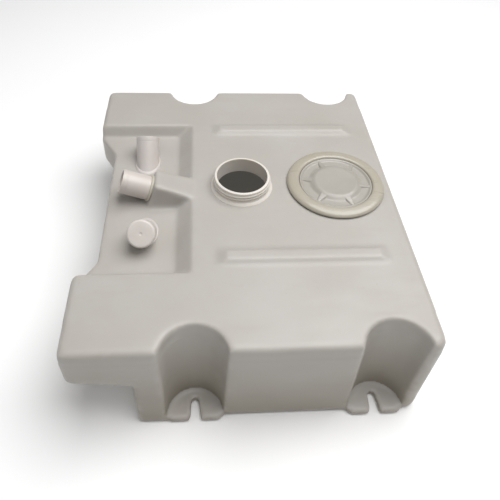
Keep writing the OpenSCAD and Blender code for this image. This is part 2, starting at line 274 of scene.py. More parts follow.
def combine(obj, other, operation):
    """Joins, cuts or trims obj with another closed mesh, which is used up."""
    change = obj.modifiers.new("combine", "BOOLEAN")
    change.operation = operation
    change.solver = "MANIFOLD"
    change.object = other
    apply_modifier(obj, change.name)
    bpy.data.objects.remove(other)


def block(name, low, high):
    low, high = Vector(low), Vector(high)
    clear()
    bpy.ops.mesh.primitive_cube_add(size=1, location=(low + high) / 2, scale=high - low)
    obj = bpy.context.active_object
    obj.name = name
    return settle(obj)


def round_bar(name, place, bottom_r, top_r, low, high, sides=BAR_FACETS):
    """Upright round bar, straight or tapered, over a point."""
    clear()
    bpy.ops.mesh.primitive_cone_add(vertices=sides, radius1=bottom_r, radius2=top_r,
                                    depth=high - low,
                                    location=(place[0], place[1], (low + high) / 2))
    obj = bpy.context.active_object
    obj.name = name
    return settle(obj)


def bevel_part(obj, test, radius, steps):
    """Rounds the edges whose middle passes the test."""
    pick(obj, "EDGE", test)
    bpy.ops.mesh.bevel(offset=radius, segments=steps, affect="EDGES")
    done()


def move_part(obj, test, by):
    pick(obj, "VERT", test)
    bpy.ops.transform.translate(value=by)
    done()


def squeeze_part(obj, test, scale, centre):
    pick(obj, "VERT", test)
    bpy.ops.transform.resize(value=scale, center_override=centre)
    done()


def aim_z(obj, place, direction):
    """Stands a piece that was turned about Z on a place, along a direction."""
    turn = UP.rotation_difference(direction).to_matrix().to_4x4()
    obj.matrix_world = Matrix.Translation(place) @ turn
    return settle(obj)


def softened(points, radius, steps=4):
    """A closed outline with its corners rounded; corners on the axis stay sharp."""
    most = 0.45
    out = []
    count = len(points)
    for i, corner in enumerate(points):
        p = Vector(corner)
        a, b = Vector(points[i - 1]), Vector(points[(i + 1) % count])
        reach = min(radius, (a - p).length * most, (b - p).length * most)
        if p.x < HAIR or reach < HAIR:
            out.append(p)
            continue
        start = p + (a - p).normalized() * reach
        end = p + (b - p).normalized() * reach
        for k in range(steps + 1):
            t = k / steps
            out.append(start * (1 - t) ** 2 + p * 2 * t * (1 - t) + end * t ** 2)
    return out


def drawn(name, outline):
    """A closed outline of (radius, height) points, drawn in the XZ plane."""
    clear()
    bpy.ops.mesh.primitive_plane_add(size=MM)
    obj = bpy.context.active_object
    obj.name = name
    whole(obj)
    bpy.ops.mesh.merge(type="CENTER")
    first = outline[0]
    bpy.ops.transform.translate(value=(first[0], 0, first[1]))
    for here, there in zip(outline, list(outline[1:]) + [first]):
        step = (there[0] - here[0], 0, there[1] - here[1])
        bpy.ops.mesh.extrude_region_move(TRANSFORM_OT_translate={"value": step})
    bpy.ops.mesh.select_all(action="SELECT")
    bpy.ops.mesh.remove_doubles(threshold=HAIR)
    done()
    return obj


def turned(name, outline, steps):
    """Turns a closed outline round the Z axis."""
    obj = drawn(name, outline)
    whole(obj)
    bpy.ops.mesh.spin(steps=steps, angle=math.tau, center=(0, 0, 0), axis=(0, 0, 1))
    done()
    tidy_mesh(obj)
    return obj


def thread(name, root, depth, pitch, turns, bottom, steps=96):
    """A helical ridge that thins out at both ends, with its own closed ends."""
    reach, bury, shoulder, fade = 0.36, 0.0008, depth * 0.6, 0.12
    flank = [(root - bury, -reach), (root + shoulder, -reach / 2), (root + depth, 0),
             (root + shoulder, reach / 2), (root - bury, reach)]
    obj = drawn(name, [(radius, bottom + share * pitch) for radius, share in flank])
    screw = obj.modifiers.new("screw", "SCREW")
    screw.angle = math.tau * turns
    screw.screw_offset = pitch * turns
    screw.steps = screw.render_steps = int(steps * turns)
    apply_modifier(obj, screw.name)
    for v in obj.data.vertices:
        turn = math.atan2(v.co.y, v.co.x) / math.tau
        along = turn + round((v.co.z - bottom) / pitch - turn)
        share = max(0, min(1, along / fade, (turns - along) / fade))
        radius = math.hypot(v.co.x, v.co.y)
        wanted = min(radius, root + NEAR / 2 + (radius - root) * share)
        v.co.x *= wanted / radius
        v.co.y *= wanted / radius
    whole(obj)
    bpy.ops.mesh.select_all(action="DESELECT")
    bpy.ops.mesh.select_non_manifold()
    bpy.ops.mesh.fill_holes(sides=0)
    done()
    tidy_mesh(obj)
    return obj


def shade(obj, angle=35):
    only(obj)
    bpy.ops.object.shade_smooth_by_angle(angle=math.radians(angle))


# ---------------------------------------------------------------- finishes

def add(tree, kind, **inputs):
    node = tree.nodes.new(kind)
    for name, value in inputs.items():
        node.inputs[name.replace("_", " ")].default_value = value
    return node


def noise(tree, place, scale, detail, stretch=None):
    """Noise on the object's own coordinates, in features per metre."""
    if stretch:
        mapping = add(tree, "ShaderNodeMapping")
        mapping.inputs["Scale"].default_value = stretch
        tree.links.new(place, mapping.inputs["Vector"])
        place = mapping.outputs["Vector"]
    node = add(tree, "ShaderNodeTexNoise", Scale=scale, Detail=detail)
    tree.links.new(place, node.inputs["Vector"])
    return node.outputs["Fac"]


def spread(tree, value, low, high, to_low, to_high):
    """Stretches a value's range from low and high to two new ends, and clamps it."""
    node = add(tree, "ShaderNodeMapRange")
    for name, number in zip(("From Min", "From Max", "To Min", "To Max"),
                            (low, high, to_low, to_high)):
        node.inputs[name].default_value = number
    tree.links.new(value, node.inputs["Value"])
    return node.outputs["Result"]


def blend_colour(tree, share, first, second):
    """Mixes two colours, each a triple or a socket, by a share."""
    mix = tree.nodes.new("ShaderNodeMix")
    mix.data_type = "RGBA"
    tree.links.new(share, mix.inputs["Factor"])
    for socket, source in ((mix.inputs["A"], first), (mix.inputs["B"], second)):
        if isinstance(source, bpy.types.NodeSocket):
            tree.links.new(source, socket)
        else:
            socket.default_value = (*source, 1)
    return mix.outputs["Result"]


def times(tree, first, second):
    node = tree.nodes.new("ShaderNodeMath")
    node.operation = "MULTIPLY"
    tree.links.new(first, node.inputs[0])
    tree.links.new(second, node.inputs[1])
    return node.outputs["Value"]


def height_of(tree, vector):
    split = tree.nodes.new("ShaderNodeSeparateXYZ")
    tree.links.new(vector, split.inputs["Vector"])
    return split.outputs["Z"]


def tinted(base, factor, warm=0.0):
    """A colour made lighter or darker, and warmer by adding red and taking off blue."""
    return tuple(min(1, c * factor * (1 + w * warm)) for c, w in zip(base, (1, 0, -2)))


def moulded_plastic(name, base, rough, skin=420, mottle=9, coat=0.0, glow=0.08, worn=False,
                    painted_shade_top=None):
    """Polyethylene with cloudy colour, a fine moulded skin, rubbed marks and scratches.

    Painted shade: upright faces are painted darker from a given height down to a lower one, where the darkening is
    full, standing in for the shade on the lower sides.
    """
    painted_shade_full = 0.03
    material = bpy.data.materials.new(name)
    material.use_nodes = True
    tree = material.node_tree
    shader = tree.nodes["Principled BSDF"]
    place = tree.nodes.new("ShaderNodeTexCoord").outputs["Object"]

    cloud = spread(tree, noise(tree, place, mottle, 5), 0.3, 0.7, 0, 1)
    paint = blend_colour(tree, cloud, tinted(base, 0.955, 0.015), tinted(base, 1.03))
    speck = spread(tree, noise(tree, place, 160, 4), 0.66, 0.80, 0, 0.35)
    paint = blend_colour(tree, speck, paint, tinted(base, 0.80, 0.05))
    smear = noise(tree, place, 30, 6, stretch=(0.35, 1.6, 1.0))
    rubbed = spread(tree, smear, 0.56, 0.78, 0, 0.5)
    paint = blend_colour(tree, rubbed, paint, tinted(base, 0.93, 0.03))
    # Painted shade: upright faces below a height are painted darker and warmer, as the lower sides stand in shade.
    if painted_shade_top is not None:
        low = spread(tree, height_of(tree, place), painted_shade_top, painted_shade_full, 0, 0.9)
        facing = tree.nodes.new("ShaderNodeNewGeometry").outputs["Normal"]
        upright = spread(tree, height_of(tree, facing), 0.75, 0.25, 0, 1)
        paint = blend_colour(tree, times(tree, low, upright), paint, tinted(base, 0.66, 0.07))
    if worn:
        edge = tree.nodes.new("ShaderNodeAttribute")
        edge.attribute_name = "edge_wear"
        patchy = spread(tree, noise(tree, place, 55, 5), 0.42, 0.62, 0.1, 1)
        wear = times(tree, edge.outputs["Fac"], patchy)
        paint = blend_colour(tree, wear, paint, tinted(base, 1.12, 0.01))
    tree.links.new(paint, shader.inputs["Base Color"])

    gloss = spread(tree, smear, 0.3, 0.75, rough - 0.07, rough + 0.12)
    tree.links.new(gloss, shader.inputs["Roughness"])
    shader.inputs["IOR"].default_value = 1.5
    shader.inputs["Coat Weight"].default_value = coat
    shader.inputs["Coat Roughness"].default_value = 0.12
    shader.inputs["Subsurface Weight"].default_value = glow
    shader.inputs["Subsurface Radius"].default_value = (0.012, 0.010, 0.007)
    shader.inputs["Subsurface Scale"].default_value = 0.6

    scratch = spread(tree, noise(tree, place, 90, 3, stretch=(0.12, 4.0, 1.0)), 0.68, 0.74, 0, 1)
    normal = None
    for height, strength, distance in ((noise(tree, place, 14, 2), 0.30, 0.0015),
                                       (noise(tree, place, skin, 2), 0.16, 0.00022),
                                       (scratch, 0.10, 0.0002)):
        bump = add(tree, "ShaderNodeBump", Strength=strength, Distance=distance)
        tree.links.new(height, bump.inputs["Height"])
        if normal:
            tree.links.new(normal, bump.inputs["Normal"])
        normal = bump.outputs["Normal"]
    tree.links.new(normal, shader.inputs["Normal"])
    return material


def rubber(name, base):
    """Black rubber with a dusty bloom and a fine grain."""
    material = bpy.data.materials.new(name)
    material.use_nodes = True
    tree = material.node_tree
    shader = tree.nodes["Principled BSDF"]
    place = tree.nodes.new("ShaderNodeTexCoord").outputs["Object"]
    bloom = spread(tree, noise(tree, place, 40, 5), 0.4, 0.7, 0, 0.6)
    tree.links.new(blend_colour(tree, bloom, base, tinted(base, 2.2)), shader.inputs["Base Color"])
    tree.links.new(spread(tree, bloom, 0, 1, 0.55, 0.85), shader.inputs["Roughness"])
    grain = add(tree, "ShaderNodeBump", Strength=0.3, Distance=0.0001)
    tree.links.new(noise(tree, place, 900, 2), grain.inputs["Height"])
    tree.links.new(grain.outputs["Normal"], shader.inputs["Normal"])
    return material


def finish_with(obj, *materials):
    obj.data.materials.clear()
    for material in materials:
        obj.data.materials.append(material)


def stands_for(obj, body, *nodes):
    """Hands a finished piece to the frame."""
    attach(obj, body)
    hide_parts(*nodes)


# ---------------------------------------------------------------- the shell

def side_front():
    """Place of the front and back faces: the feet alone reach the frame's box."""
    return FRONT + bpy.context.scene.tank_shell.foot_out


def leaning_block(name, low, high, lean):
    """Block whose sides lean in towards its base."""
    obj = block(name, low, high)
    centre = (Vector(low) + Vector(high)) / 2
    size = Vector(high) - Vector(low)
    squeeze_part(obj, lambda p: p.z < centre.z,
                 (1 - 2 * lean / size.x, 1 - 2 * lean / size.y, 1), centre)
    return obj


def tank_blocks(inset):
    """The deep body and the overhang, shrunk by inset for the cavity."""
    s = bpy.context.scene.tank_shell
    front = side_front()
    body = leaning_block("tank_body",
                         (LEFT + s.step_in + inset - s.lean, front + inset, s.sole + inset),
                         (RIGHT - inset, -front - inset, DECK - inset), s.lean)
    soften_block(body, s, inset)
    over = leaning_block("overhang", (LEFT + inset, front + inset, s.step_up + inset),
                         (LEFT + s.step_in + 3 * s.edge + inset, -front - inset, DECK - inset),
                         s.lean / 2)
    move_part(over, lambda p: p.x < LEFT + s.step_in and p.z < (DECK + s.step_up) / 2,
              (0, 0, s.step_rise))
    soften_block(over, s, inset)
    combine(body, over, "UNION")
    return body


def soften_block(obj, s, inset):
    """Rounds the block's upper edges fully and those round its base more tightly."""
    low = min(v.co.z for v in obj.data.vertices)
    high = max(v.co.z for v in obj.data.vertices)
    base_top = low + s.step_rise + OVER
    front_right = (lambda p: p.x > RIGHT - 0.02 and p.y < 0)
    for radius, test in ((s.corner, front_right), (s.edge * 1.05, lambda p: not front_right(p))):
        bevel_part(obj, lambda p: base_top < p.z < high - OVER and test(p), radius - inset, 8)
    bevel_part(obj, lambda p: p.z < base_top, max(MM, s.base_edge - inset), 5)
    bevel_part(obj, lambda p: p.z > high - NEAR, s.edge - inset, 6)


def cut_pockets(body, grow):
    """The four half-round pockets over the feet, which narrow towards the floor."""
    s = bpy.context.scene.tank_shell
    for x in FOOT_X:
        for side in (-1, 1):
            y = side * (-side_front() + POCKET_OUT)
            bar = round_bar("pocket", (x, y), s.pocket - s.pocket_taper + grow, s.pocket + grow,
                            -OVER, DECK + OVER)
            combine(body, bar, "DIFFERENCE")


def cut_shelf(body, grow):
    """The shelf, its ramp and its two sloping sides, which run on past the deck."""
    s = bpy.context.scene.tank_shell
    y0 = side_front() + s.front_block - grow
    y1 = -side_front() - s.back_block + grow
    x1 = LEFT + s.shelf_in + grow
    past = FAR_PAST / (DECK - SHELF + grow)
    space = block("shelf_space", (LEFT - PAST, y0, SHELF - grow), (x1, y1, DECK + FAR_PAST))
    low = (lambda p: p.z < DECK)
    for test, run in ((lambda p: p.x > LEFT, Vector((s.slope, 0, 0))),
                      (lambda p: p.y < 0, Vector((0, -s.slope / 2, 0))),
                      (lambda p: p.y > 0, Vector((0, s.slope / 2, 0)))):
        move_part(space, lambda p: test(p) and not low(p), run * past)
        move_part(space, lambda p: test(p) and low(p), -run)
    combine(body, space, "DIFFERENCE")


def cut_end_notch(body, grow):
    """The notch in the left end between the two blocks, with slanting flanks."""
    s = bpy.context.scene.tank_shell
    y0 = side_front() + s.front_block - s.notch_front - grow
    y1 = -side_front() - s.back_block - s.notch_back + grow
    run_on = PAST * (s.notch_lead / (s.notch + grow))
    space = block("end_notch", (LEFT - PAST, y0 - run_on, -OVER),
                  (LEFT + s.notch + grow, y1 + run_on, DECK + FAR_PAST))
    move_part(space, lambda p: p.x > LEFT and p.y < 0, (0, s.notch_lead + run_on, 0))
    move_part(space, lambda p: p.x > LEFT and p.y > 0, (0, -s.notch_lead - run_on, 0))
    combine(body, space, "DIFFERENCE")


def toe(side):
    """Where the face flares out down to the sole beside a left foot."""
    s = bpy.context.scene.tank_shell
    front = side_front()
    sunk, thick, above, flare, edge = 0.003, 0.020, 0.008, 0.0085, 0.004
    piece = block("toe", (LEFT + s.step_in + sunk, front + sunk, s.sole / 2),
                  (FOOT_X[0] - s.pocket / 2, front + thick, s.step_up + above))
    move_part(piece, lambda p: p.y < front + thick / 2 and p.z < s.step_up / 2, (0, -flare, 0))
    bevel_part(piece, lambda p: p.y < front and p.z < OVER, edge, 4)
    return mirrored(piece, side)


def mirrored(piece, side):
    """Turns a piece made for the front face into one for the back face."""
    if side > 0:
        whole(piece)
        bpy.ops.transform.resize(value=(1, -1, 1), center_override=(0, 0, 0))
        bpy.ops.mesh.normals_make_consistent(inside=False)
        done()
    return piece


def foot(x, side):
    """One foot flange with its open bolt slot."""
    s = bpy.context.scene.tank_shell
    half = s.pocket - s.pocket_taper
    corner, edge, edge_zone, flare = 0.010, 0.0025, 0.02, 0.0025
    bottom, top = -PAST, FOOT_TOP + PAST
    plate = block("foot", (x - half, FRONT, 0), (x + half, FRONT + s.foot_out + s.pocket, FOOT_TOP))
    bevel_part(plate, lambda p: p.y < FRONT + NEAR and abs(p.z - FOOT_TOP / 2) < OVER, corner, 6)
    bevel_part(plate, lambda p: p.y < FRONT + edge_zone and (p.z > FOOT_TOP - TINY or p.z < TINY),
               edge, 3)
    round_r = half + s.wall / 2
    combine(plate, round_bar("foot_trim", (x, side_front() - POCKET_OUT), round_r, round_r,
                             bottom, top), "INTERSECT")
    combine(plate, round_bar("slot_end", (x, -SLOT_Y), SLOT_R, SLOT_R, bottom, top, SLOT_FACETS),
            "DIFFERENCE")
    mouth = block("slot_mouth", (x - SLOT_R, FRONT - PAST, bottom), (x + SLOT_R, -SLOT_Y, top))
    move_part(mouth, lambda p: p.y < FRONT and p.x < x, (-flare, 0, 0))
    move_part(mouth, lambda p: p.y < FRONT and p.x > x, (flare, 0, 0))
    combine(plate, mouth, "DIFFERENCE")
    if x < 0:
        combine(plate, toe_lap(x - half), "UNION")
    return mirrored(plate, side)


def toe_lap(end):
    """Joins a left foot's rounded end to the toe beside it."""
    outside, inside, back, front, skin = 0.006, 0.008, 0.012, 0.002, 0.0003
    return block("toe_lap", (end - outside, FRONT + front, skin),
                 (end + inside, FRONT + back, FOOT_TOP - skin))


def raised_rib(y):
    """One of the two stiffening ribs, with sloping sides and ends."""
    s = bpy.context.scene.tank_shell
    left_gap, right_gap, end_slopes, top_share = 0.030, 0.035, 0.044, 0.5
    x0, x1 = LEFT + s.shelf_in + left_gap, RIGHT - right_gap
    rib = block("rib", (x0, y - s.rib_wide / 2, DECK - s.wall / 2),
                (x1, y + s.rib_wide / 2, DECK + s.rib_high))
    centre = ((x0 + x1) / 2, y, DECK)
    squeeze_part(rib, lambda p: p.z > DECK, (1 - end_slopes / (x1 - x0), top_share, 1), centre)
    return rib


def filler_boss():
    """Boss that slopes up along the filler spout and narrows to its end face."""
    s = bpy.context.scene.tank_shell
    past_ramp, narrow, edge, edge_above = 0.004, 0.80, 0.004, 0.012
    half = HOSE_R + s.boss_cover
    ramp_x = LEFT + s.shelf_in + past_ramp
    normal = Vector((SPOUT_AXIS.z, 0, SPOUT_AXIS.x))
    start = Vector((ramp_x, SPOUT.y, DECK)) - normal * half
    end_top = start + SPOUT_AXIS * s.boss_length + normal * half
    base = SHELF - s.wall / 2
    run = (end_top.z - base) * SPOUT_AXIS.z / -SPOUT_AXIS.x
    boss = block("filler_boss", (0, SPOUT.y - half, 0), (1, SPOUT.y + half, 1))
    move_part(boss, lambda p: p.x < 0.5 and p.z < 0.5, (end_top.x - run, 0, base))
    move_part(boss, lambda p: p.x > 0.5 and p.z < 0.5, (ramp_x + s.wall - 1, 0, base))
    move_part(boss, lambda p: p.x > 0.5 and p.z > 0.5,
              (ramp_x + s.wall - 1, 0, DECK - s.wall * SPOUT_AXIS.z - 1))
    move_part(boss, lambda p: p.x < 0.5 and p.z > 0.5, (end_top.x, 0, end_top.z - 1))
    squeeze_part(boss, lambda p: p.x < end_top.x + OVER and p.z > DECK, (1, narrow, 1), end_top)
    bevel_part(boss, lambda p: p.z > SHELF + edge_above, edge, 3)
    return boss


def neck_blank():
    """The neck before it is bored: a rounded rim, a flared foot and the outside thread."""
    f = bpy.context.scene.tank_fittings
    crest = NECK_BORE + NECK_WALL
    root = crest - f.thread_depth
    inner = NECK_BORE - 0.004
    foot_r = crest + 0.0048
    bottom = DECK - NECK_SINK
    first_turn = DECK + 0.0058
    outline = [(inner, bottom), (inner, NECK_TOP), (root, NECK_TOP), (root, DECK + 0.004),
               (crest + 0.0022, DECK + 0.0018), (foot_r, DECK - 0.0008), (foot_r, bottom)]
    tube = turned("neck_tube", softened(outline, 0.0020, 4), HATCH_FACETS)
    ridge = thread("neck_thread", root, f.thread_depth, f.thread_pitch, f.thread_turns, first_turn)
    combine(tube, ridge, "UNION")
    tube.location = (NECK.x, NECK.y, 0)
    return settle(tube)


def mark_edges(obj):
    """Writes how sharply each point of the shell bends outwards, for the wear."""
    sharpest, most_wear = 90, 0.6
    mesh = obj.data
    count = len(mesh.vertices)
    place = np.empty(count * 3)
    mesh.vertices.foreach_get("co", place)
    place = place.reshape(-1, 3)
    normal = np.empty(count * 3)
    mesh.vertex_normals.foreach_get("vector", normal)
    normal = normal.reshape(-1, 3)
    ends = np.empty(len(mesh.edges) * 2, dtype=np.int64)
    mesh.edges.foreach_get("vertices", ends)
    ends = ends.reshape(-1, 2)
    gap = place[ends[:, 0]] - place[ends[:, 1]]
    size = np.maximum(np.linalg.norm(gap, axis=1), HAIR)
    bend = ((normal[ends[:, 0]] - normal[ends[:, 1]]) * gap).sum(axis=1) / size ** 2
    total, seen = np.zeros(count), np.zeros(count)
    for column in (0, 1):
        np.add.at(total, ends[:, column], bend)
        np.add.at(seen, ends[:, column], 1)
    wear = np.clip(total / np.maximum(seen, 1) / sharpest, 0, 1) * most_wear
    layer = mesh.attributes.new("edge_wear", "FLOAT", "POINT")
    layer.data.foreach_set("value", wear)


class TANK_OT_shell(bpy.types.Operator):
    """Models the hollow moulded shell with its feet, ribs, boss and threaded neck"""

    bl_idname = "tank.shell"
    bl_label = "Moulded shell"

    def execute(self, context):
        s = context.scene.tank_shell
        paint = context.scene.tank_colours
        # The outer skin: upright faces below 0.165 m are painted darker as shade.
        skins = (moulded_plastic("natural_polyethylene", paint.shell, 0.40, worn=True, glow=0.16,
                                 painted_shade_top=0.165),
                 # Inner skin: a darker copy of the shell, painted shade, with a painted glow.
                 self.inner_skin_painted_shade_glow(paint),
                 # The neck: a lighter copy of the shell, painted light.
                 moulded_plastic("neck_polyethylene_painted_light", paint.neck, 0.38, glow=0.2))
        body = tank_blocks(0)
        for side in (-1, 1):
            combine(body, toe(side), "UNION")
        cut_pockets(body, 0)
        cut_shelf(body, 0)
        cut_end_notch(body, 0)
        for x in FOOT_X:
            for side in (-1, 1):
                combine(body, foot(x, side), "UNION")
        for y in (s.rib_front, s.rib_back):
            combine(body, raised_rib(y), "UNION")
        combine(body, filler_boss(), "UNION")
        self.blend(body, s)
        self.hollow(body, s, skins)
        body.name = "moulded_shell"
        shade(body, 38)
        mark_edges(body)
        stands_for(body, "tank", "tank_shell")
        return {"FINISHED"}

    def blend(self, body, s):
        """Blends every edge as blow moulding does, the faces' outer rims most of all."""
        remesh = body.modifiers.new("remesh", "REMESH")
        remesh.mode = "VOXEL"
        remesh.voxel_size = s.voxel
        apply_modifier(body, remesh.name)
        over_feet = FOOT_TOP + 0.014
        outside = -side_front() - s.pocket - 0.012
        rims = body.vertex_groups.new(name="rims")
        rims.add([v.index for v in body.data.vertices
                  if v.co.z > over_feet and abs(v.co.y) > outside], 1, "REPLACE")
        for name, passes in (("", s.blend), ("rims", s.rim_blend)):
            smooth = body.modifiers.new("smooth", "SMOOTH")
            smooth.factor = 0.5
            smooth.iterations = passes
            smooth.vertex_group = name
            apply_modifier(body, smooth.name)
        body.vertex_groups.clear()
        self.seam(body, s)
        thin = body.modifiers.new("thin", "DECIMATE")
        thin.ratio = 0.5
        apply_modifier(body, thin.name)

    def seam(self, body, s):
        """Leaves the lower half of the moulding a little proud at the parting line."""
        level, fade = SHELF - 0.003, 0.002  # height of the line and half the step's width
        skin = [(v, v.normal.copy()) for v in body.data.vertices
                if v.co.z < level + fade and abs(v.normal.z) < 0.5]
        for v, normal in skin:
            v.co += normal * s.seam * min(1, (level + fade - v.co.z) / (2 * fade))

    def hollow(self, body, s, skins):
        """Adds the neck, cuts the cavity and opens the neck and the hatch."""
        ring_over_hole, bore_below, hole_below = 0.006, 0.03, 0.012
        finish_with(body, *skins)
        neck = self.skinned(neck_blank(), skins, NECK_PAINTED_LIGHT)
        combine(body, neck, "UNION")
        cavity = tank_blocks(s.wall)
        cut_pockets(cavity, s.wall)
        cut_shelf(cavity, s.wall)
        cut_end_notch(cavity, s.wall)
        cavity.name = "cavity"
        combine(body, self.skinned(cavity, skins, INNER_PAINTED_SHADE_GLOW), "DIFFERENCE")
        combine(body, round_bar("neck_bore", NECK, NECK_BORE, NECK_BORE, DECK - bore_below,
                                NECK_TOP + PAST, HATCH_FACETS), "DIFFERENCE")
        hole = (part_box("hatch_lock_ring")[1].x - HATCH.x) - ring_over_hole
        combine(body, round_bar("hatch_hole", HATCH, hole, hole, DECK - hole_below,
                                DECK + FAR_PAST), "DIFFERENCE")
        self.open_spigots(body, s)
        # The bore's upper faces take the neck's lighter copy, painted light.
        for face in body.data.polygons:
            in_bore = (face.center.xy - NECK.xy).length < NECK_BORE + 0.0005
            if in_bore and face.center.z > DECK - 0.0045:
                face.material_index = NECK_PAINTED_LIGHT

    def skinned(self, piece, skins, index):
        """Gives a piece the shell's materials, so that its faces keep theirs when joined."""
        finish_with(piece, *skins)
        for face in piece.data.polygons:
            face.material_index = index
        return piece

    def open_spigots(self, body, s):
        """Carries each hose spigot's bore on through the wall into the tank."""
        bore = HOSE_R - bpy.context.scene.tank_fittings.tube_wall - BORE_GAP
        into_tank, under_shelf, through_shelf = s.boss_length + 0.045, 0.022, 0.035
        face = SPOUT - SPOUT_AXIS * SPOUT_FREE / 2
        bores = [(face - SPOUT_AXIS * into_tank, SPOUT_AXIS, into_tank + PAST)]
        for node, axis in (("vent_spigot", VENT_AXIS), ("spare_spigot", SPARE_AXIS)):
            root = foot_point(tube_top(node, axis), axis)
            bores.append((root - axis * under_shelf, axis, through_shelf))
        for start, axis, depth in bores:
            bar = round_bar("spigot_bore", (0, 0), bore, bore, 0, depth, BORE_FACETS)
            aim_z(bar, start, axis)
            combine(body, bar, "DIFFERENCE")

    def inner_skin_painted_shade_glow(self, paint):
        """The inner wall: a darker copy of the shell's colour as painted shade, with a painted glow by emission
        that stands in for light coming through it.
        """
        # Painted shade: the inside takes the shell's colour at half brightness.
        material = moulded_plastic("tank_inside_painted_shade_glow", tinted(paint.shell, 0.5), 0.6, glow=0.0)
        shader = material.node_tree.nodes["Principled BSDF"]
        # Painted glow: emission stands in for light coming through the wall.
        shader.inputs["Emission Color"].default_value = (*paint.inside, 1)
        shader.inputs["Emission Strength"].default_value = 1
        return material


# ---------------------------------------------------------------- tubes and welds

def tube(name, outer, inner, tall, rim):
    """Hose end: a tube with rounded rims and a faint ring behind its mouth."""
    ring, ring_half, ring_deep = tall - 0.0085, 0.0012, 0.00025
    outline = [(inner, 0), (inner, tall), (outer, tall), (outer, ring + ring_half),
               (outer - ring_deep, ring), (outer, ring - ring_half), (outer, 0)]
    return turned(name, softened(outline, rim, 4), TUBE_FACETS)


def weld_ring(name, radius, width, height):
    """Round weld bead about Z, a little uneven as a hand-run bead is."""
    inner, uneven = radius - 0.0006, 0.00012
    outline = [(inner, 0), (inner, height), (radius + width * 0.6, height * 0.9),
               (radius + width, 0)]
    bead = turned(name, softened(outline, width * 0.5, 4), TUBE_FACETS)
    whole(bead)
    bpy.ops.transform.vertex_random(offset=uneven, seed=4)
    done()
    return bead


def leaning_tube(name, node, axis, top):
    """Tube that leans out of the shelf, trimmed level with the inside of its wall."""
    s = bpy.context.scene.tank_shell
    f = bpy.context.scene.tank_fittings
    outer = (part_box(node)[1].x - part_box(node)[0].x) / 2
    root = foot_point(top, axis)
    buried = 2 * outer
    tall = (top - root).length + buried
    piece = tube(name, outer, outer - f.tube_wall, tall, f.rim)
    aim_z(piece, root - axis * buried, axis)
    whole(piece)
    bpy.ops.mesh.bisect(plane_co=(0, 0, SHELF - s.wall), plane_no=(0, 0, 1), clear_inner=True,
                        use_fill=False)
    bpy.ops.mesh.select_all(action="DESELECT")
    bpy.ops.mesh.select_non_manifold()
    bpy.ops.mesh.bridge_edge_loops()
    done()
    tidy_mesh(piece)
    return piece


def foot_point(top, axis):
    """Where a line through top along axis meets the shelf."""
    return top - axis * ((top.z - SHELF) / axis.z)


def leaning_bead(name, root, axis, outer):
    """Weld bead where a leaning tube meets the shelf, an oval on the flat."""
    high, sunk = 0.003, 0.0004
    bead = weld_ring(name, outer, bpy.context.scene.tank_fittings.weld, high)
    whole(bead)
    bpy.ops.transform.resize(value=(1, 1 / axis.z, 1), center_override=(0, 0, 0))
    done()
    whole(bead)
    bpy.ops.transform.translate(value=(root.x, root.y, SHELF - sunk))
    done()
    lean = axis.y / axis.z
    for v in bead.data.vertices:
        v.co.y += (v.co.z - SHELF) * lean
    tidy_mesh(bead)
    return bead


def tube_top(node, axis):
    """Centre of a leaning tube's open end, from its box."""
    low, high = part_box(node)
    radius = (high.x - low.x) / 2
    x = (low.x + high.x) / 2
    z = high.z - radius * math.hypot(axis.x, axis.y)
    far = high.y if axis.y > 0 else low.y
    y = far - math.copysign(radius * axis.z, axis.y)
    return Vector((x, y, z))


class TANK_OT_spigots(bpy.types.Operator):
    """Models the filler spout, the two leaning spigots and their weld beads"""

    bl_idname = "tank.spigots"
    bl_label = "Hose spigots"

    def execute(self, context):
        f = context.scene.tank_fittings
        paint = context.scene.tank_colours
        plastic = moulded_plastic("turned_polyethylene", paint.spigot, 0.36, skin=300, mottle=24,
                                  coat=0.15)
        pale = moulded_plastic("pale_polyethylene", tinted(paint.spigot, 0.97, -0.01), 0.38,
                               skin=300, mottle=24, coat=0.1)
        bead_finish = moulded_plastic("weld_bead", paint.weld, 0.42, skin=600, mottle=60)

        collar_high, collar_back, in_boss = 0.0045, 0.0035, 0.019
        mouth = SPOUT + SPOUT_AXIS * SPOUT_FREE / 2
        whole_length = SPOUT_FREE + in_boss
        spout = tube("filler_spout_tube", HOSE_R, HOSE_R - f.tube_wall, whole_length, f.rim)
        aim_z(spout, mouth - SPOUT_AXIS * whole_length, SPOUT_AXIS)
        collar = weld_ring("filler_spout_collar", HOSE_R, f.weld, collar_high)
        aim_z(collar, SPOUT - SPOUT_AXIS * (SPOUT_FREE / 2 + collar_back), SPOUT_AXIS)
        for piece, node, finish in ((spout, "filler_spout", plastic),
                                    (collar, "filler_weld", bead_finish)):
            finish_with(piece, finish)
            shade(piece)
            stands_for(piece, "tank", node)

        for node, bead_node, axis in (("vent_spigot", "vent_weld", VENT_AXIS),
                                      ("spare_spigot", "spare_weld", SPARE_AXIS)):
            top = tube_top(node, axis)
            piece = leaning_tube(node + "_tube", node, axis, top)
            bead = leaning_bead(bead_node + "_bead", foot_point(top, axis), axis, HOSE_R)
            for item, name in ((piece, node), (bead, bead_node)):
                finish_with(item, pale)
                shade(item)
                stands_for(item, "tank", name)
        return {"FINISHED"}


